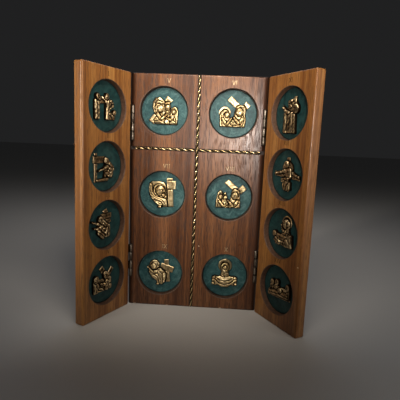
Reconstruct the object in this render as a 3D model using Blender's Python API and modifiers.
"""A small folding triptych of wood, with cast reliefs of the stations of the cross in round recesses.

The frame: the origin is on the underside of the centre panel at half its thickness, +X is the viewer's
right, +Y runs away from the viewer and +Z is up. Lengths are metres. A wing is modelled in the plane of
the centre panel, around its hinge line, and its parent empty then folds it towards the viewer.
"""

import math

import bmesh
import bpy
from mathutils import Matrix

MM = 0.001

# Panels
PANEL_HEIGHT = 254 * MM
PANEL_THICKNESS = 11 * MM
CENTRE_WIDTH = 145.4 * MM
CLOSED_SPACE = 0.4 * MM  # left between the wings' outer edges when both are closed
EDGE_ROUND = 1.6 * MM
WING_HINGE_ROUND = 0.8 * MM
WING_OUTER_ROUND = 2.5 * MM  # the wings' free upright front edges
CENTRE_HINGE_ROUND = 6.35 * MM  # a quarter inch round on the centre panel's front edges beside the hinges
ROUND_STEPS = 2
LEFT_FOLD = math.radians(62.3)  # turned towards the viewer from the plane of the centre panel
RIGHT_FOLD = math.radians(58.8)

# Hinges
AXIS_INSET = 3.3 * MM  # the hinge lines stand over the centre panel's rounded edges
AXIS_X = CENTRE_WIDTH / 2 - AXIS_INSET
AXIS_PROUD = 0.7 * MM  # and in front of the panels' faces
WING_START = 2.4 * MM  # from a hinge line to the wing's inner edge
HINGE_LENGTH = 37 * MM
HINGE_FROM_MIDDLE = 75.5 * MM
KNUCKLE_COUNT = 4
KNUCKLE_RADIUS = 1.5 * MM
PIN_RADIUS = 0.6 * MM
LEAF_THICKNESS = 0.75 * MM
LEAF_WIDTH = 7.0 * MM
HINGE_SIDES = 6

# Roundels
RECESS_RADIUS = 25.4 * MM
RECESS_DEPTH = 7.3 * MM
WING_COLUMN = 35.6 * MM  # from a hinge line to the wing's column of roundels
DISC_THICKNESS = 1.5 * MM
CENTRE_COLUMN = 36.5 * MM  # from the middle line to a column of roundels
ROW_FROM_EDGE = 38.1 * MM  # from the panel's top or bottom edge to the outer rows
CENTRE_ROWS = 3
WING_ROWS = 4
ROUNDEL_SIDES = 24

# Wire cross
WIRE_WIDTH = 3.0 * MM
WIRE_WAIST = 1.6 * MM
WIRE_LAY = 15.6 * MM
WIRE_STEPS_A_LAY = 5
WIRE_SIDES = 4
GROOVE_DEPTH = 2.4 * MM
CROSS_HEIGHT = 176.2 * MM
WIRE_END_IN = 0.6 * MM  # the upright stops this far inside the panel's top and bottom

# Clearances
GAP = 0.3 * MM
CUT_OVER = 4 * MM  # how far a cutter runs past the face it opens

# Relief heights, as shares of the recess radius
LOW = 0.05
MID = 0.08
HIGH = 0.105
TOP = 0.13
HEAD_SIDES = 6
HEAD_RINGS = 4
HEAD_TALL = 1.15  # a head's height over its width
LOOK_ASIDE = 0.1  # how far a head that looks aside is moved, as a share of its half width
LIMB_SIDES = 6
RING_SIDES = 12
BEND_SHARE = 0.9  # a sleeve's width and height at its bend, against its widest and highest
WRIST_SHARE = 0.6
HEM_SHARE = 0.92

# Faces that lie this close to one plane are merged
NEARLY_FLAT = math.radians(12)
FLAT = math.radians(0.5)

FACE_Y = -PANEL_THICKNESS / 2
AXIS_Y = FACE_Y - AXIS_PROUD
WING_END = AXIS_X - CLOSED_SPACE / 2
DISC_FACE_DEPTH = RECESS_DEPTH - GAP - DISC_THICKNESS
GROOVE_WIDTH = WIRE_WIDTH + 2 * GAP
WIRE_DEPTH = GROOVE_DEPTH - GAP - WIRE_WIDTH / 2
KNUCKLE_HOLLOW = (KNUCKLE_RADIUS + GAP) / math.cos(math.pi / HINGE_SIDES)
UPRIGHT = Matrix.Rotation(math.pi / 2, 4, "X")  # takes local z, out of a face, to -Y


class Stage:
    """The collections, materials and helpers that every piece shares."""

    def __init__(self):
        for obj in list(bpy.data.objects):
            bpy.data.objects.remove(obj)
        self.parts = self.collection("triptych")
        self.cutters = self.collection("cutters")

    def collection(self, name):
        made = bpy.data.collections.new(name)
        bpy.context.scene.collection.children.link(made)
        return made

    def material(self, name, colour, roughness, metallic=0.0):
        made = bpy.data.materials.new(name)
        made.use_nodes = True
        shader = made.node_tree.nodes["Principled BSDF"]
        shader.inputs["Base Color"].default_value = (*colour, 1.0)
        shader.inputs["Roughness"].default_value = roughness
        shader.inputs["Metallic"].default_value = metallic
        return made

    def add(self, name, mesh, material, parent=None):
        """One sub-part from a bmesh, which this frees."""
        data = bpy.data.meshes.new(name)
        mesh.normal_update()
        mesh.to_mesh(data)
        mesh.free()
        obj = bpy.data.objects.new(name, data)
        obj.data.materials.append(material)
        obj.parent = parent
        self.parts.objects.link(obj)
        return obj

    def cutter(self, name, mesh, parent=None):
        data = bpy.data.meshes.new(name)
        mesh.normal_update()
        mesh.to_mesh(data)
        mesh.free()
        obj = bpy.data.objects.new(name, data)
        obj.parent = parent
        obj.hide_render = True
        obj.display_type = "WIRE"
        self.cutters.objects.link(obj)
        return obj


def add_box(mesh, low, high):
    """A box between two corners, added to a bmesh."""
    made = bmesh.ops.create_cube(mesh, size=1)["verts"]
    middle = [(a + b) / 2 for a, b in zip(low, high)]
    size = [b - a for a, b in zip(low, high)]
    bmesh.ops.scale(mesh, vec=size, verts=made)
    bmesh.ops.translate(mesh, vec=middle, verts=made)
    return made


def add_cylinder(mesh, radius, low, high, sides, matrix):
    """A cylinder along local z between two heights, added to a bmesh and then moved by the matrix."""
    made = bmesh.ops.create_cone(
        mesh, cap_ends=True, segments=sides, radius1=radius, radius2=radius, depth=high - low
    )["verts"]
    bmesh.ops.translate(mesh, vec=(0, 0, (low + high) / 2), verts=made)
    bmesh.ops.transform(mesh, matrix=matrix, verts=made)
    return made


def boolean(obj, other, operation, own_overlaps=False):
    modifier = obj.modifiers.new(operation.lower(), "BOOLEAN")
    modifier.operation = operation
    modifier.solver = "EXACT"
    modifier.use_self = own_overlaps
    modifier.object = other


def merge_flat_faces(obj, within):
    modifier = obj.modifiers.new("merged flat faces", "DECIMATE")
    modifier.decimate_type = "DISSOLVE"
    modifier.angle_limit = within


def share_rows(count):
    """Heights of evenly spaced rows between the outer ones, from the top down."""
    top = PANEL_HEIGHT - ROW_FROM_EDGE
    step = (top - ROW_FROM_EDGE) / (count - 1)
    return [top - row * step for row in range(count)]


def roundel_places():
    """For each station: its panel and the middle of its roundel on that panel's face."""
    places = {}
    for row, height in enumerate(share_rows(WING_ROWS)):
        places[row] = ("left", -WING_COLUMN, height)
        places[WING_ROWS + 2 * CENTRE_ROWS + row] = ("right", WING_COLUMN, height)
    for row, height in enumerate(share_rows(CENTRE_ROWS)):
        places[WING_ROWS + 2 * row] = ("centre", -CENTRE_COLUMN, height)
        places[WING_ROWS + 2 * row + 1] = ("centre", CENTRE_COLUMN, height)
    return dict(sorted(places.items()))


def hinge_middles():
    """The two hinges of one hinge line, by name, and their middle heights."""
    middle = PANEL_HEIGHT / 2
    return {"upper": middle + HINGE_FROM_MIDDLE, "lower": middle - HINGE_FROM_MIDDLE}


class Panel:
    """A wooden board in its own frame: where its face and edges are, and what folds it."""

    def __init__(self, name, low_x, high_x, face_y, parent, hinge_edges):
        self.name = name
        self.low_x = low_x
        self.high_x = high_x
        self.face_y = face_y
        self.parent = parent
        self.hinge_edges = hinge_edges  # pairs: the hinged edge's x and the side (-1 or 1) that it faces


def round_front_edges(obj, panel, rounds):
    """Bevels a board: rounds maps 'hinge', 'outer' and 'other' to radii; the widest is the modifier's width."""
    widest = max(rounds.values())
    weights = obj.data.attributes.new("bevel_weight_edge", "FLOAT", "EDGE")
    for edge in obj.data.edges:
        ends = [obj.data.vertices[index].co for index in edge.vertices]
        upright = abs(ends[0].x - ends[1].x) < GAP and abs(ends[0].y - ends[1].y) < GAP
        front = all(abs(end.y - panel.face_y) < GAP for end in ends)
        hinged = any(abs(ends[0].x - x) < GAP for x, _ in panel.hinge_edges)
        kind = "other"
        if upright and front:
            kind = "hinge" if hinged else "outer"
        weights.data[edge.index].value = rounds[kind] / widest
    bevel = obj.modifiers.new("rounded edges", "BEVEL")
    bevel.limit_method = "WEIGHT"
    bevel.width = widest
    bevel.segments = ROUND_STEPS


def make_panel(stage, panel, material, roundels, hinge_round):
    """A board with rounded edges and its roundel recesses."""
    mesh = bmesh.new()
    back = panel.face_y + PANEL_THICKNESS
    add_box(mesh, (panel.low_x, panel.face_y, 0), (panel.high_x, back, PANEL_HEIGHT))
    obj = stage.add(panel.name, mesh, material, panel.parent)
    round_front_edges(obj, panel, {"hinge": hinge_round, "outer": WING_OUTER_ROUND, "other": EDGE_ROUND})

    recesses = bmesh.new()
    for x, height in roundels:
        place = Matrix.Translation((x, panel.face_y, height)) @ UPRIGHT
        add_cylinder(recesses, RECESS_RADIUS, -RECESS_DEPTH, CUT_OVER, ROUNDEL_SIDES, place)
    boolean(obj, stage.cutter(f"{panel.name} recesses", recesses, panel.parent), "DIFFERENCE")

    return obj


def cut_wing_mortises(stage, obj, panel):
    """The notches in a wing's inner edge that its hinge leaves are let into."""
    mortises = bmesh.new()
    (edge_x, side), = panel.hinge_edges
    inner = edge_x - side * (LEAF_THICKNESS + GAP)
    outer = edge_x + side * CUT_OVER
    for middle in hinge_middles().values():
        half = HINGE_LENGTH / 2 + GAP
        low = (min(inner, outer), panel.face_y - CUT_OVER, middle - half)
        add_box(mortises, low, (max(inner, outer), LEAF_WIDTH + GAP, middle + half))
    boolean(obj, stage.cutter(f"{panel.name} mortises", mortises, panel.parent), "DIFFERENCE")


def cut_leaf_slots(stage, obj):
    """The centre panel's saw slots for its hinge leaves, and the hollows under the knuckles."""
    for name, side in (("left", -1), ("right", 1)):
        slots = bmesh.new()
        hollows = bmesh.new()
        half_slot = LEAF_THICKNESS / 2 + GAP
        line_x = side * AXIS_X
        for middle in hinge_middles().values():
            low = middle - HINGE_LENGTH / 2 - GAP
            high = middle + HINGE_LENGTH / 2 + GAP
            deep = AXIS_Y + LEAF_WIDTH + GAP
            add_box(slots, (line_x - half_slot, FACE_Y - CUT_OVER, low), (line_x + half_slot, deep, high))
            line = Matrix.Translation((line_x, AXIS_Y, 0))
            add_cylinder(hollows, KNUCKLE_HOLLOW, low, high, HINGE_SIDES, line)
        boolean(obj, stage.cutter(f"{name} leaf slots", slots), "DIFFERENCE")
        boolean(obj, stage.cutter(f"{name} knuckle hollows", hollows), "DIFFERENCE")


def cut_grooves(stage, obj):
    """The sawn grooves of the wire cross, open at the board's edges."""
    bottom = FACE_Y + GROOVE_DEPTH
    front = FACE_Y - CUT_OVER
    half = GROOVE_WIDTH / 2
    reach = CENTRE_WIDTH / 2 + CUT_OVER
    upright = bmesh.new()
    add_box(upright, (-half, front, -CUT_OVER), (half, bottom, PANEL_HEIGHT + CUT_OVER))
    boolean(obj, stage.cutter("upright groove", upright), "DIFFERENCE")
    across = bmesh.new()
    add_box(across, (-reach, front, CROSS_HEIGHT - half), (reach, bottom, CROSS_HEIGHT + half))
    boolean(obj, stage.cutter("cross groove", across), "DIFFERENCE")


def twisted_wire(stage, name, length, place, material):
    """Two strands twisted together, as one bar of flat section that turns along its length."""
    mesh = bmesh.new()
    made = add_cylinder(mesh, 1.0, 0, length, WIRE_SIDES, Matrix.Identity(4))
    bmesh.ops.scale(mesh, vec=(WIRE_WIDTH / 2, WIRE_WAIST / 2, 1), verts=made)
    long_edges = [edge for edge in mesh.edges if abs(edge.verts[0].co.z - edge.verts[1].co.z) > length / 2]
    cuts = max(1, round(length / WIRE_LAY * WIRE_STEPS_A_LAY)) - 1
    bmesh.ops.subdivide_edges(mesh, edges=long_edges, cuts=cuts, use_grid_fill=True)
    for vert in mesh.verts:
        turn = vert.co.z / WIRE_LAY * 2 * math.pi
        vert.co.rotate(Matrix.Rotation(turn, 3, "Z"))
    bmesh.ops.triangulate(mesh, faces=mesh.faces[:])
    bmesh.ops.transform(mesh, matrix=place, verts=mesh.verts)
    return stage.add(name, mesh, material)


def make_wires(stage, material):
    """The upright in one length and the two arms that meet it."""
    depth = FACE_Y + WIRE_DEPTH
    lift = Matrix.Translation((0, depth, WIRE_END_IN))
    twisted_wire(stage, "cross_wire_upright", PANEL_HEIGHT - 2 * WIRE_END_IN, lift, material)
    start = WIRE_WIDTH / 2 + GAP
    length = CENTRE_WIDTH / 2 - CENTRE_HINGE_ROUND - start
    for name, side in (("left", -1), ("right", 1)):
        turn = Matrix.Rotation(side * math.pi / 2, 4, "Y")
        place = Matrix.Translation((side * start, depth, CROSS_HEIGHT)) @ turn
        twisted_wire(stage, f"cross_wire_{name}_arm", length, place, material)


def knuckles(first, bottom):
    """The lower and upper heights of every other knuckle of a hinge, from the one given."""
    pitch = (HINGE_LENGTH + GAP) / KNUCKLE_COUNT
    return [(bottom + index * pitch, bottom + (index + 1) * pitch - GAP)
            for index in range(first, KNUCKLE_COUNT, 2)]


def make_centre_leaf(stage, name, middle, parent, bore, material):
    """The leaf on the centre panel: a plate straight behind the hinge line, and two knuckles."""
    mesh = bmesh.new()
    half = LEAF_THICKNESS / 2
    bottom = middle - HINGE_LENGTH / 2
    plate_start = KNUCKLE_RADIUS + GAP
    add_box(mesh, (-half, plate_start, bottom), (half, LEAF_WIDTH, bottom + HINGE_LENGTH))
    for low, high in knuckles(0, bottom):
        add_cylinder(mesh, KNUCKLE_RADIUS, low, high, HINGE_SIDES, Matrix.Identity(4))
        add_box(mesh, (-half, 0, low), (half, plate_start + GAP, high))
    finish_leaf(stage.add(name, mesh, material, parent), bore)


def make_wing_leaf(stage, name, middle, side, parent, bore, material):
    """The leaf on a wing: a plate let into the wing's edge, bent across to the other two knuckles."""
    mesh = bmesh.new()
    half = LEAF_THICKNESS / 2
    bottom = middle - HINGE_LENGTH / 2
    near = side * WING_START
    far = side * (WING_START + LEAF_THICKNESS)
    low_x, high_x = min(near, far), max(near, far)
    add_box(mesh, (low_x, AXIS_PROUD, bottom), (high_x, LEAF_WIDTH, bottom + HINGE_LENGTH))
    for low, high in knuckles(1, bottom):
        add_cylinder(mesh, KNUCKLE_RADIUS, low, high, HINGE_SIDES, Matrix.Identity(4))
        add_box(mesh, (min(0, far), -half, low), (max(0, far), half, high))
        add_box(mesh, (low_x, -half, low), (high_x, AXIS_PROUD + GAP, high))
    finish_leaf(stage.add(name, mesh, material, parent), bore)


def finish_leaf(obj, bore):
    """Joins a leaf's parts and bores its knuckles for the pin."""
    boolean(obj, bore, "DIFFERENCE", own_overlaps=True)
    merge_flat_faces(obj, FLAT)


def make_hinges(stage, side_name, side, wing, axis, material):
    """Both hinges of one wing: the leaf on the centre panel, the leaf on the wing, and the pin."""
    bore_mesh = bmesh.new()
    bore_radius = PIN_RADIUS + GAP
    add_cylinder(bore_mesh, bore_radius, -CUT_OVER, PANEL_HEIGHT + CUT_OVER, HINGE_SIDES, Matrix.Identity(4))
    bore = stage.cutter(f"{side_name} hinge bore", bore_mesh, axis)
    for level, middle in hinge_middles().items():
        name = f"hinge_{side_name}_{level}"
        make_centre_leaf(stage, f"{name}_centre_leaf", middle, axis, bore, material)
        make_wing_leaf(stage, f"{name}_wing_leaf", middle, side, wing, bore, material)
        pin = bmesh.new()
        half = HINGE_LENGTH / 2
        add_cylinder(pin, PIN_RADIUS, middle - half, middle + half, HINGE_SIDES, Matrix.Identity(4))
        stage.add(f"{name}_pin", pin, material, axis)


class Casting:
    """The overlapping forms of one relief, in shares of the recess radius: x right, y up, z out of the face.

    Each form stands on the flat back and is centred there, and what lies behind the back is cut away.
    A finish or a dress names the carving of a form's surface, which these solids leave smooth.
    """

    def __init__(self):
        self.mesh = bmesh.new()

    def place(self, verts, along, at):
        turn = Matrix.Rotation(along, 4, "Z")
        bmesh.ops.transform(self.mesh, matrix=Matrix.Translation((*at, 0)) @ turn, verts=verts)

    def bar(self, start, end, width, top):
        """A beam or a block with a flat top between the middles of its two ends."""
        length = math.dist(start, end)
        verts = add_box(self.mesh, (0, -width / 2, -top), (length, width / 2, top))
        self.place(verts, math.atan2(end[1] - start[1], end[0] - start[0]), start)

    def ovoid(self, at, half_x, half_y, top, lean=0.0, finish="plain"):
        """A rounded mass: a head, a hood, a hand or a knee."""
        verts = bmesh.ops.create_uvsphere(
            self.mesh, u_segments=HEAD_SIDES, v_segments=HEAD_RINGS, radius=1
        )["verts"]
        bmesh.ops.scale(self.mesh, vec=(half_x, half_y, top), verts=verts)
        self.place(verts, math.radians(lean), at)

    def limb(self, start, end, start_half, end_half, start_top, end_top, finish="plain"):
        """A tapering round form between two points: a sleeve, a leg or the fall of a robe."""
        length = math.dist(start, end)
        verts = bmesh.ops.create_cone(
            self.mesh, cap_ends=True, segments=LIMB_SIDES, radius1=1, radius2=1, depth=1
        )["verts"]
        for vert in verts:
            far = vert.co.z > 0
            half = end_half if far else start_half
            top = end_top if far else start_top
            vert.co = (length if far else 0, vert.co.x * half, vert.co.y * top)
        self.place(verts, math.atan2(end[1] - start[1], end[0] - start[0]), start)

    def form(self, points, top, creases):
        """A closed outline with a flat top. These solids leave out its creases."""
        low = [self.mesh.verts.new((x, y, -top)) for x, y in points]
        high = [self.mesh.verts.new((x, y, top)) for x, y in points]
        faces = [self.mesh.faces.new(low), self.mesh.faces.new(high)]
        for index in range(len(points)):
            faces.append(self.mesh.faces.new((low[index - 1], low[index], high[index], high[index - 1])))
        bmesh.ops.recalc_face_normals(self.mesh, faces=faces)

    def ring(self, at, radius, width, top):
        """A halo: a low band around a circle."""
        verts = bmesh.ops.create_cone(
            self.mesh, cap_ends=True, segments=RING_SIDES, radius1=radius, radius2=radius, depth=2 * top
        )["verts"]
        self.place(verts, 0, at)

    def head(self, at, size, dress, look):
        """A head in hair, a crown or a veil, its plain face turned to the side that look gives."""
        self.ovoid((at[0] + look * size * LOOK_ASIDE, at[1]), size, size * HEAD_TALL, TOP, finish=dress)


def arm(relief, shoulder, elbow, hand, half, top):
    """A sleeve bent at the elbow, and its narrow end at the hand."""
    relief.limb(shoulder, elbow, half, half * BEND_SHARE, top * BEND_SHARE, top, "folds")
    relief.limb(elbow, hand, half * BEND_SHARE, half * WRIST_SHARE, top, top * BEND_SHARE, "folds")


def robe(relief, shoulders, hem, shoulder_half, hem_half, top):
    """The long fall of a robe."""
    relief.limb(shoulders, hem, shoulder_half, hem_half, top, top * HEM_SHARE, "folds")


def block(relief, left, right, bottom, top):
    """The low ground of metal behind the figures."""
    middle = (bottom + top) / 2
    relief.bar((left, middle), (right, middle), top - bottom, LOW)


def condemned(relief):
    """A standing judge, a prisoner before them and a kneeling servant."""
    block(relief, -0.40, 0.06, 0.10, 0.38)
    robe(relief, (-0.46, 0.24), (-0.46, -0.52), 0.16, 0.14, HIGH)
    relief.head((-0.45, 0.34), 0.12, "hair", 1)
    arm(relief, (-0.36, 0.22), (-0.20, 0.32), (-0.04, 0.24), 0.06, HIGH)
    robe(relief, (0.12, 0.30), (0.08, -0.52), 0.15, 0.12, TOP)
    relief.head((0.06, 0.38), 0.12, "hair", -1)
    arm(relief, (0.26, 0.24), (0.40, 0.06), (0.24, -0.06), 0.08, TOP)
    robe(relief, (0.36, -0.20), (0.36, -0.50), 0.13, 0.20, MID)
    relief.head((0.47, -0.20), 0.10, "hair", -1)
    relief.ovoid((0.22, -0.28), 0.09, 0.07, TOP, finish="hand")


def takes_cross(relief):
    """A bowed figure on the right takes the upright cross on the left."""
    relief.bar((-0.50, -0.60), (-0.50, 0.54), 0.16, LOW)
    relief.bar((-0.64, 0.28), (0.04, 0.28), 0.26, LOW)
    relief.limb((0.10, 0.10), (0.20, -0.36), 0.22, 0.22, LOW, LOW)
    robe(relief, (0.33, 0.02), (0.24, -0.44), 0.17, 0.15, HIGH)
    relief.limb((0.08, 0.16), (0.36, -0.10), 0.14, 0.15, TOP, TOP, "folds")
    relief.head((0.05, 0.23), 0.13, "hair", -1)
    arm(relief, (0.14, 0.02), (-0.12, -0.08), (-0.36, -0.16), 0.07, TOP)
    arm(relief, (0.16, -0.26), (-0.04, -0.30), (-0.05, -0.52), 0.07, HIGH)
    relief.limb((-0.46, -0.54), (0.16, -0.50), 0.06, 0.08, MID, MID)


def falls_first(relief):
    """A figure sunk to the knees under the cross."""
    relief.bar((0.00, 0.60), (0.26, 0.02), 0.24, LOW)
    relief.bar((-0.22, 0.32), (0.38, 0.34), 0.22, LOW)
    relief.limb((-0.44, -0.06), (0.10, -0.16), 0.20, 0.26, LOW, LOW)
    robe(relief, (0.08, 0.00), (0.10, -0.54), 0.20, 0.22, HIGH)
    relief.limb((-0.24, 0.14), (0.06, -0.12), 0.15, 0.18, HIGH, TOP, "folds")
    relief.head((-0.26, 0.22), 0.15, "crown", -1)
    arm(relief, (-0.32, 0.04), (-0.50, 0.10), (-0.72, 0.18), 0.07, HIGH)
    arm(relief, (-0.12, -0.06), (-0.36, -0.14), (-0.60, -0.09), 0.08, TOP)
    relief.limb((-0.40, -0.24), (-0.06, -0.54), 0.12, 0.12, HIGH, HIGH, "folds")
    relief.ovoid((-0.08, -0.20), 0.13, 0.10, TOP, lean=40, finish="folds")


def meets_mother(relief):
    """Two figures face to face before the slanting cross."""
    relief.bar((-0.20, 0.56), (0.14, 0.06), 0.22, LOW)
    relief.bar((0.46, 0.42), (0.10, 0.02), 0.20, LOW)
    block(relief, -0.62, 0.38, -0.48, 0.06)
    robe(relief, (-0.52, 0.10), (-0.52, -0.48), 0.15, 0.14, HIGH)
    relief.head((-0.51, 0.12), 0.15, "veil", 1)
    robe(relief, (0.20, 0.08), (0.20, -0.48), 0.19, 0.20, HIGH)
    relief.head((0.05, 0.20), 0.15, "crown", -1)
    arm(relief, (0.14, -0.04), (0.00, -0.20), (-0.18, -0.15), 0.08, TOP)
    arm(relief, (-0.44, -0.08), (-0.32, -0.30), (-0.14, -0.38), 0.07, HIGH)
    relief.ovoid((0.28, -0.34), 0.11, 0.12, TOP, finish="folds")


def simon_helps(relief):
    """Two figures side by side and a veiled one, before the slanting beam."""
    relief.bar((-0.54, -0.47), (0.23, 0.54), 0.28, LOW)
    relief.form(
        ((-0.42, -0.12), (-0.52, 0.14), (-0.49, 0.38), (-0.40, 0.55), (-0.20, 0.57), (-0.04, 0.46),
         (0.06, 0.30), (0.02, 0.06), (-0.24, -0.06)), MID,
        [((-0.40, 0.02), (-0.40, 0.32), (-0.28, 0.44), (-0.10, 0.38))])
    relief.form(
        ((-0.40, 0.18), (-0.32, 0.28), (0.00, 0.28), (0.06, 0.10), (0.06, -0.55), (-0.36, -0.55),
         (-0.44, -0.36), (-0.32, -0.22), (-0.36, -0.04)), HIGH,
        [((-0.34, -0.14), (-0.14, -0.26), (0.02, -0.18)), ((-0.36, -0.42), (-0.16, -0.36), (0.04, -0.50))])
    relief.form(
        ((0.02, 0.26), (0.05, 0.39), (0.21, 0.39), (0.27, 0.20), (0.26, -0.56), (0.04, -0.56), (0.03, -0.06)),
        HIGH, [((0.08, 0.02), (0.08, 0.28), (0.18, 0.28), (0.20, 0.06)), ((0.06, -0.30), (0.24, -0.22))])
    relief.form(
        ((0.24, -0.06), (0.28, 0.14), (0.42, 0.23), (0.55, 0.16), (0.59, -0.02), (0.56, -0.56), (0.22, -0.56)),
        HIGH,
        [((0.32, -0.20), (0.34, 0.06), (0.43, 0.12), (0.50, 0.02), (0.49, -0.42)),
         ((0.24, -0.42), (0.36, -0.34), (0.47, -0.44))])
    relief.head((-0.19, 0.09), 0.13, "hair", 1)
    relief.head((0.14, 0.16), 0.10, "hair", -1)
    relief.head((0.41, -0.02), 0.09, "veil", -1)
    arm(relief, (-0.30, -0.10), (-0.12, -0.34), (0.10, -0.14), 0.07, TOP)
    arm(relief, (0.40, -0.16), (0.28, -0.36), (0.10, -0.28), 0.06, TOP)


def wipes_face(relief):
    """A haloed woman holds her cloth to the bearded head on the right."""
    relief.bar((-0.185, 0.635), (0.26, 0.24), 0.25, LOW)
    relief.bar((0.615, 0.435), (0.40, 0.20), 0.25, LOW)
    relief.ring((-0.35, 0.03), 0.25, 0.09, LOW)
    relief.form(
        ((-0.56, -0.08), (-0.50, 0.07), (-0.38, 0.16), (-0.25, 0.14), (-0.15, 0.00), (-0.13, -0.16),
         (0.02, -0.34), (0.02, -0.55), (-0.55, -0.55)), HIGH,
        [((-0.37, -0.36), (-0.40, -0.06), (-0.32, 0.08), (-0.22, 0.02)),
         ((-0.36, -0.36), (-0.22, -0.42), (-0.12, -0.30)), ((-0.47, -0.48), (-0.48, -0.10))])
    relief.form(
        ((0.00, -0.20), (0.06, 0.14), (0.14, 0.31), (0.30, 0.38), (0.44, 0.34), (0.54, 0.18), (0.51, -0.02),
         (0.55, -0.22), (0.51, -0.55), (-0.02, -0.55)), HIGH,
        [((0.10, -0.04), (0.13, 0.18), (0.29, 0.29), (0.43, 0.24), (0.47, 0.06)),
         ((0.42, -0.06), (0.46, -0.28), (0.38, -0.50)), ((0.12, -0.50), (0.30, -0.40), (0.34, -0.20))])
    relief.form(((-0.14, -0.22), (0.04, -0.18), (0.18, -0.30), (0.14, -0.48), (-0.10, -0.46)), MID,
                [((-0.10, -0.28), (0.02, -0.38), (0.12, -0.30))])
    relief.head((-0.26, -0.06), 0.10, "veil", 1)
    relief.head((0.28, 0.07), 0.15, "crown", -1)
    arm(relief, (-0.44, -0.20), (-0.26, -0.46), (-0.06, -0.18), 0.06, TOP)
    arm(relief, (0.42, -0.16), (0.26, -0.40), (0.04, -0.16), 0.07, TOP)


def falls_again(relief):
    """A bowed head within a raised sleeve, beside the upright cross."""
    relief.bar((0.31, 0.70), (0.37, -0.55), 0.25, LOW)
    relief.bar((0.20, 0.40), (0.57, 0.40), 0.36, LOW)
    relief.form(
        ((-0.58, 0.46), (-0.46, 0.55), (-0.10, 0.56), (0.08, 0.52), (0.18, 0.38), (0.19, 0.10), (0.22, -0.20),
         (0.25, -0.56), (0.02, -0.56), (-0.20, -0.44), (-0.44, -0.26), (-0.58, -0.04)), MID,
        [((-0.42, 0.02), (-0.36, 0.34), (-0.22, 0.44), (0.04, 0.40), (0.13, 0.22), (0.13, -0.06)),
         ((-0.30, 0.05), (-0.26, 0.28), (-0.12, 0.35))])
    relief.head((-0.10, 0.14), 0.19, "crown", 1)
    relief.form(
        ((-0.57, 0.48), (-0.43, 0.40), (-0.43, 0.10), (-0.31, -0.08), (-0.06, -0.16), (0.16, -0.20),
         (0.22, -0.30), (0.26, -0.56), (0.03, -0.56), (-0.02, -0.36), (-0.28, -0.26), (-0.50, -0.10),
         (-0.59, 0.12)), TOP,
        [((-0.50, 0.34), (-0.50, 0.08), (-0.34, -0.14), (0.00, -0.25), (0.12, -0.40)),
         ((-0.54, 0.20), (-0.43, -0.06))])
    relief.form(((-0.44, -0.26), (-0.02, -0.36), (0.03, -0.50), (-0.12, -0.58), (-0.24, -0.44)), HIGH,
                [((-0.30, -0.34), (-0.06, -0.44))])
    relief.ovoid((0.06, -0.04), 0.07, 0.08, TOP, finish="hand")
    relief.ovoid((-0.10, -0.56), 0.11, 0.06, HIGH, finish="hand")


def meets_women(relief):
    """Two veiled women on the left and the crowned head on the right."""
    relief.bar((-0.115, 0.685), (0.30, 0.32), 0.24, LOW)
    relief.bar((0.655, 0.47), (0.42, 0.22), 0.25, LOW)
    relief.form(
        ((0.02, -0.28), (0.08, 0.06), (0.10, 0.26), (0.20, 0.36), (0.36, 0.36), (0.46, 0.24), (0.50, -0.06),
         (0.52, -0.47), (-0.08, -0.47)), HIGH,
        [((0.14, 0.00), (0.16, 0.20), (0.27, 0.29), (0.38, 0.24), (0.42, 0.02)),
         ((0.45, -0.08), (0.40, -0.34), (0.24, -0.42)), ((0.02, -0.44), (0.10, -0.34))])
    relief.form(
        ((-0.56, -0.47), (-0.56, -0.14), (-0.48, 0.20), (-0.39, 0.30), (-0.29, 0.26), (-0.24, 0.08),
         (-0.25, -0.47)), HIGH,
        [((-0.46, -0.42), (-0.46, -0.04), (-0.38, 0.16), (-0.30, 0.06)), ((-0.42, -0.26), (-0.28, -0.34))])
    relief.form(
        ((-0.29, -0.47), (-0.27, 0.08), (-0.18, 0.24), (-0.10, 0.18), (-0.05, -0.02), (-0.02, -0.26),
         (0.02, -0.47)), HIGH,
        [((-0.23, -0.14), (-0.20, 0.10), (-0.13, 0.08)), ((-0.24, -0.30), (-0.12, -0.36), (-0.10, -0.46))])
    relief.head((-0.36, 0.00), 0.09, "veil", 1)
    relief.head((-0.15, -0.02), 0.08, "veil", 1)
    relief.head((0.27, 0.07), 0.14, "crown", -1)
    arm(relief, (0.40, -0.14), (0.20, -0.40), (-0.02, -0.14), 0.07, TOP)
    arm(relief, (-0.40, -0.18), (-0.22, -0.40), (-0.06, -0.30), 0.06, TOP)


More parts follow.
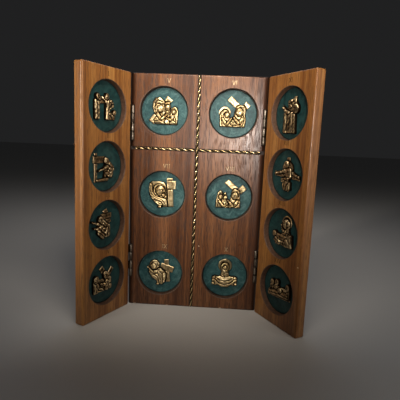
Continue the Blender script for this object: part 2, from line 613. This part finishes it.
def falls_third(relief):
    """A curled figure with its back to the slanting cross."""
    relief.bar((0.26, 0.58), (0.35, -0.44), 0.20, LOW)
    relief.bar((0.02, 0.28), (0.58, 0.11), 0.27, LOW)
    relief.form(
        ((-0.50, 0.16), (-0.28, 0.06), (0.02, 0.18), (0.18, 0.06), (0.27, -0.16), (0.24, -0.46), (0.08, -0.60),
         (-0.12, -0.56), (-0.18, -0.40), (-0.36, -0.28), (-0.52, -0.02)), HIGH,
        [((-0.44, 0.04), (-0.26, -0.02), (-0.08, -0.10), (0.02, -0.34)),
         ((-0.40, -0.14), (-0.22, -0.14), (-0.08, -0.26), (-0.06, -0.48)),
         ((-0.06, 0.08), (0.10, -0.04), (0.16, -0.22), (0.12, -0.48))])
    relief.form(
        ((-0.50, 0.24), (-0.46, 0.44), (-0.32, 0.56), (-0.14, 0.55), (-0.01, 0.40), (-0.02, 0.20), (-0.20, 0.10),
         (-0.40, 0.14)), HIGH,
        [((-0.42, 0.30), (-0.32, 0.46), (-0.16, 0.45), (-0.09, 0.28))])
    relief.head((-0.27, 0.26), 0.15, "hair", -1)
    relief.limb((-0.06, 0.16), (0.18, -0.04), 0.07, 0.08, TOP, TOP, "folds")
    relief.limb((0.18, -0.04), (0.19, -0.34), 0.08, 0.07, TOP, TOP, "folds")
    arm(relief, (-0.14, 0.02), (-0.34, -0.04), (-0.54, 0.20), 0.07, TOP)
    relief.ovoid((-0.10, -0.56), 0.09, 0.06, HIGH, finish="hand")


def stripped(relief):
    """A haloed figure seen from the front over the drawn cloth."""
    relief.ring((0.00, 0.45), 0.30, 0.10, LOW)
    relief.form(
        ((-0.34, -0.10), (-0.20, 0.02), (-0.16, 0.22), (-0.18, 0.42), (-0.11, 0.54), (0.00, 0.58),
         (0.11, 0.54), (0.18, 0.42), (0.16, 0.22), (0.20, 0.02), (0.34, -0.10)), HIGH,
        [((-0.12, 0.06), (-0.11, 0.40), (-0.04, 0.50), (0.04, 0.50), (0.11, 0.40), (0.12, 0.06)),
         ((-0.26, -0.06), (-0.08, 0.04), (0.00, -0.02), (0.08, 0.04), (0.26, -0.06))])
    relief.head((0.00, 0.34), 0.10, "hair", 0)
    relief.form(
        ((-0.57, -0.08), (-0.44, 0.00), (-0.20, -0.03), (0.00, -0.07), (0.20, -0.03), (0.44, 0.00),
         (0.57, -0.08), (0.56, -0.42), (0.44, -0.48), (0.30, -0.43), (0.14, -0.54), (-0.14, -0.54),
         (-0.30, -0.43), (-0.44, -0.48), (-0.56, -0.42)), HIGH,
        [((-0.46, -0.14), (-0.24, -0.34), (0.00, -0.42), (0.24, -0.34), (0.46, -0.14)),
         ((-0.40, -0.08), (-0.20, -0.21), (0.00, -0.26), (0.20, -0.21), (0.40, -0.08)),
         ((-0.46, -0.24), (-0.44, -0.44)), ((0.46, -0.24), (0.44, -0.44))])
    for side in (-1, 1):
        relief.ovoid((side * 0.48, -0.10), 0.08, 0.07, TOP, finish="hand")
        relief.ovoid((side * 0.50, -0.38), 0.07, 0.06, TOP, finish="hand")


def nailed(relief):
    """A robed figure with a raised mallet bends over the beam."""
    relief.bar((-0.56, 0.28), (0.00, -0.02), 0.16, LOW)
    robe(relief, (-0.24, 0.06), (-0.28, -0.74), 0.20, 0.17, HIGH)
    robe(relief, (0.00, 0.12), (-0.01, -0.74), 0.22, 0.20, HIGH)
    robe(relief, (0.16, 0.02), (0.24, -0.74), 0.09, 0.07, TOP)
    relief.ovoid((0.04, 0.32), 0.28, 0.24, MID, lean=20, finish="folds")
    relief.head((0.27, 0.18), 0.18, "hair", -1)
    arm(relief, (-0.06, 0.24), (-0.18, 0.44), (0.12, 0.52), 0.08, HIGH)
    relief.bar((0.19, 0.38), (0.19, 0.64), 0.11, HIGH)
    arm(relief, (-0.12, 0.02), (-0.30, 0.10), (-0.48, 0.24), 0.07, TOP)


def crucified(relief):
    """A figure with outstretched arms on the cross."""
    relief.bar((0.02, -0.66), (0.02, 0.68), 0.20, LOW)
    relief.bar((-0.74, 0.02), (0.72, -0.08), 0.19, LOW)
    relief.ovoid((0.02, 0.22), 0.32, 0.32, MID)
    relief.head((-0.02, 0.40), 0.13, "crown", -1)
    for hand, bend in (((-0.66, 0.02), (-0.30, 0.10)), ((0.66, -0.04), (0.40, 0.06))):
        arm(relief, (0.06, 0.18), bend, hand, 0.08, HIGH)
    relief.limb((0.06, 0.24), (0.14, -0.14), 0.18, 0.14, TOP, TOP, "torso")
    relief.limb((-0.30, -0.22), (0.16, -0.20), 0.09, 0.12, HIGH, TOP, "folds")
    relief.limb((-0.02, -0.22), (-0.08, -0.62), 0.21, 0.14, HIGH, MID, "folds")
    relief.limb((0.19, -0.28), (0.22, -0.58), 0.07, 0.06, HIGH, TOP)


def mourned(relief):
    """A veiled woman with a halo holds the body across her lap."""
    relief.ring((0.20, 0.46), 0.28, 0.07, LOW)
    block(relief, -0.44, 0.50, -0.50, -0.10)
    robe(relief, (0.24, 0.16), (0.10, -0.50), 0.22, 0.32, HIGH)
    robe(relief, (0.46, 0.02), (0.55, -0.52), 0.13, 0.09, TOP)
    relief.head((0.20, 0.40), 0.17, "veil", -1)
    relief.limb((0.30, 0.50), (0.32, 0.10), 0.08, 0.09, HIGH, HIGH, "folds")
    relief.limb((-0.34, -0.12), (0.26, -0.18), 0.12, 0.13, TOP, TOP, "torso")
    relief.head((-0.44, -0.08), 0.13, "hair", 1)
    arm(relief, (0.08, 0.08), (-0.04, 0.22), (-0.08, 0.34), 0.07, HIGH)
    relief.limb((-0.44, -0.26), (-0.10, -0.44), 0.13, 0.12, HIGH, HIGH, "folds")
    relief.limb((0.22, -0.22), (0.40, -0.48), 0.10, 0.08, TOP, HIGH)


def entombed(relief):
    """Mourners lay the wrapped body on the slab."""
    relief.bar((-0.66, -0.34), (0.70, -0.24), 0.14, LOW)
    block(relief, -0.50, 0.60, -0.28, 0.08)
    for x, top in ((-0.36, 0.22), (-0.08, 0.28)):
        robe(relief, (x, top - 0.10), (x - 0.05, -0.28), 0.16, 0.17, MID)
        relief.head((x, top), 0.13, "veil", 1)
    robe(relief, (0.56, 0.20), (0.58, -0.22), 0.14, 0.12, HIGH)
    relief.head((0.58, 0.25), 0.13, "hair", -1)
    arm(relief, (0.48, 0.08), (0.28, 0.12), (0.08, 0.04), 0.08, HIGH)
    relief.limb((-0.56, -0.22), (0.60, -0.14), 0.13, 0.11, TOP, HIGH, "folds")
    relief.head((0.12, -0.02), 0.11, "hair", 0)


SCENES = (
    condemned, takes_cross, falls_first, meets_mother, simon_helps, wipes_face, falls_again,
    meets_women, falls_third, stripped, nailed, crucified, mourned, entombed,
)


def make_roundel(stage, index, panel, x, height, disc_material, relief_material):
    """The disc at the bottom of a recess and the relief that stands on it."""
    place = Matrix.Translation((x, panel.face_y, height)) @ UPRIGHT
    disc = bmesh.new()
    back = GAP - RECESS_DEPTH
    add_cylinder(disc, RECESS_RADIUS - GAP, back, back + DISC_THICKNESS, ROUNDEL_SIDES, place)
    stage.add(f"disc_{index + 1:02d}", disc, disc_material, panel.parent)

    casting = Casting()
    SCENES[index](casting)
    on_disc = place @ Matrix.Translation((0, 0, GAP - DISC_FACE_DEPTH)) @ Matrix.Scale(RECESS_RADIUS, 4)
    bmesh.ops.transform(casting.mesh, matrix=on_disc, verts=casting.mesh.verts)
    relief = stage.add(f"relief_{index + 1:02d}", casting.mesh, relief_material, panel.parent)
    front = bmesh.new()
    add_box(front, (-1, -1, 0), (1, 1, 1))
    bmesh.ops.transform(front, matrix=on_disc, verts=front.verts)
    cutter = stage.cutter(f"front of relief {index + 1:02d}", front, panel.parent)
    boolean(relief, cutter, "INTERSECT", own_overlaps=True)
    merge_flat_faces(relief, NEARLY_FLAT)


def hinge_line(stage, name, x, fold):
    """An empty on a hinge line, turned by the fold."""
    empty = bpy.data.objects.new(name, None)
    empty.location = (x, AXIS_Y, 0)
    empty.rotation_euler = (0, 0, fold)
    stage.parts.objects.link(empty)
    return empty


def main():
    stage = Stage()
    wing_wood = stage.material("wing wood", (0.33, 0.16, 0.06), 0.38)
    centre_wood = stage.material("centre wood", (0.22, 0.09, 0.05), 0.35)
    marble = stage.material("green marbled disc", (0.06, 0.17, 0.16), 0.3)
    brass = stage.material("cast brass", (0.72, 0.52, 0.24), 0.32, 1.0)
    wire = stage.material("brass wire", (0.66, 0.50, 0.26), 0.28, 1.0)
    hinge_brass = stage.material("hinge brass", (0.60, 0.52, 0.36), 0.35, 1.0)

    half = CENTRE_WIDTH / 2
    wing_face = FACE_Y - AXIS_Y
    near = WING_START
    far = WING_END
    wings = {name: hinge_line(stage, f"{name}_wing_turn", side * AXIS_X, fold)
             for name, side, fold in (("left", -1, LEFT_FOLD), ("right", 1, -RIGHT_FOLD))}
    axes = {name: hinge_line(stage, f"{name}_hinge_line", side * AXIS_X, 0)
            for name, side in (("left", -1), ("right", 1))}
    panels = {
        "centre": Panel("centre_panel", -half, half, FACE_Y, None, ((-half, -1), (half, 1))),
        "left": Panel("left_wing_panel", -far, -near, wing_face, wings["left"], ((-near, 1),)),
        "right": Panel("right_wing_panel", near, far, wing_face, wings["right"], ((near, -1),)),
    }

    places = roundel_places()
    for key, panel in panels.items():
        roundels = [(x, height) for name, x, height in places.values() if name == key]
        centre = key == "centre"
        rounding = CENTRE_HINGE_ROUND if centre else WING_HINGE_ROUND
        board = make_panel(stage, panel, centre_wood if centre else wing_wood, roundels, rounding)
        if centre:
            cut_grooves(stage, board)
            cut_leaf_slots(stage, board)
        else:
            cut_wing_mortises(stage, board, panel)
    for index, (key, x, height) in places.items():
        make_roundel(stage, index, panels[key], x, height, marble, brass)
    make_wires(stage, wire)
    for name, side in (("left", -1), ("right", 1)):
        make_hinges(stage, name, side, wings[name], axes[name], hinge_brass)


main()
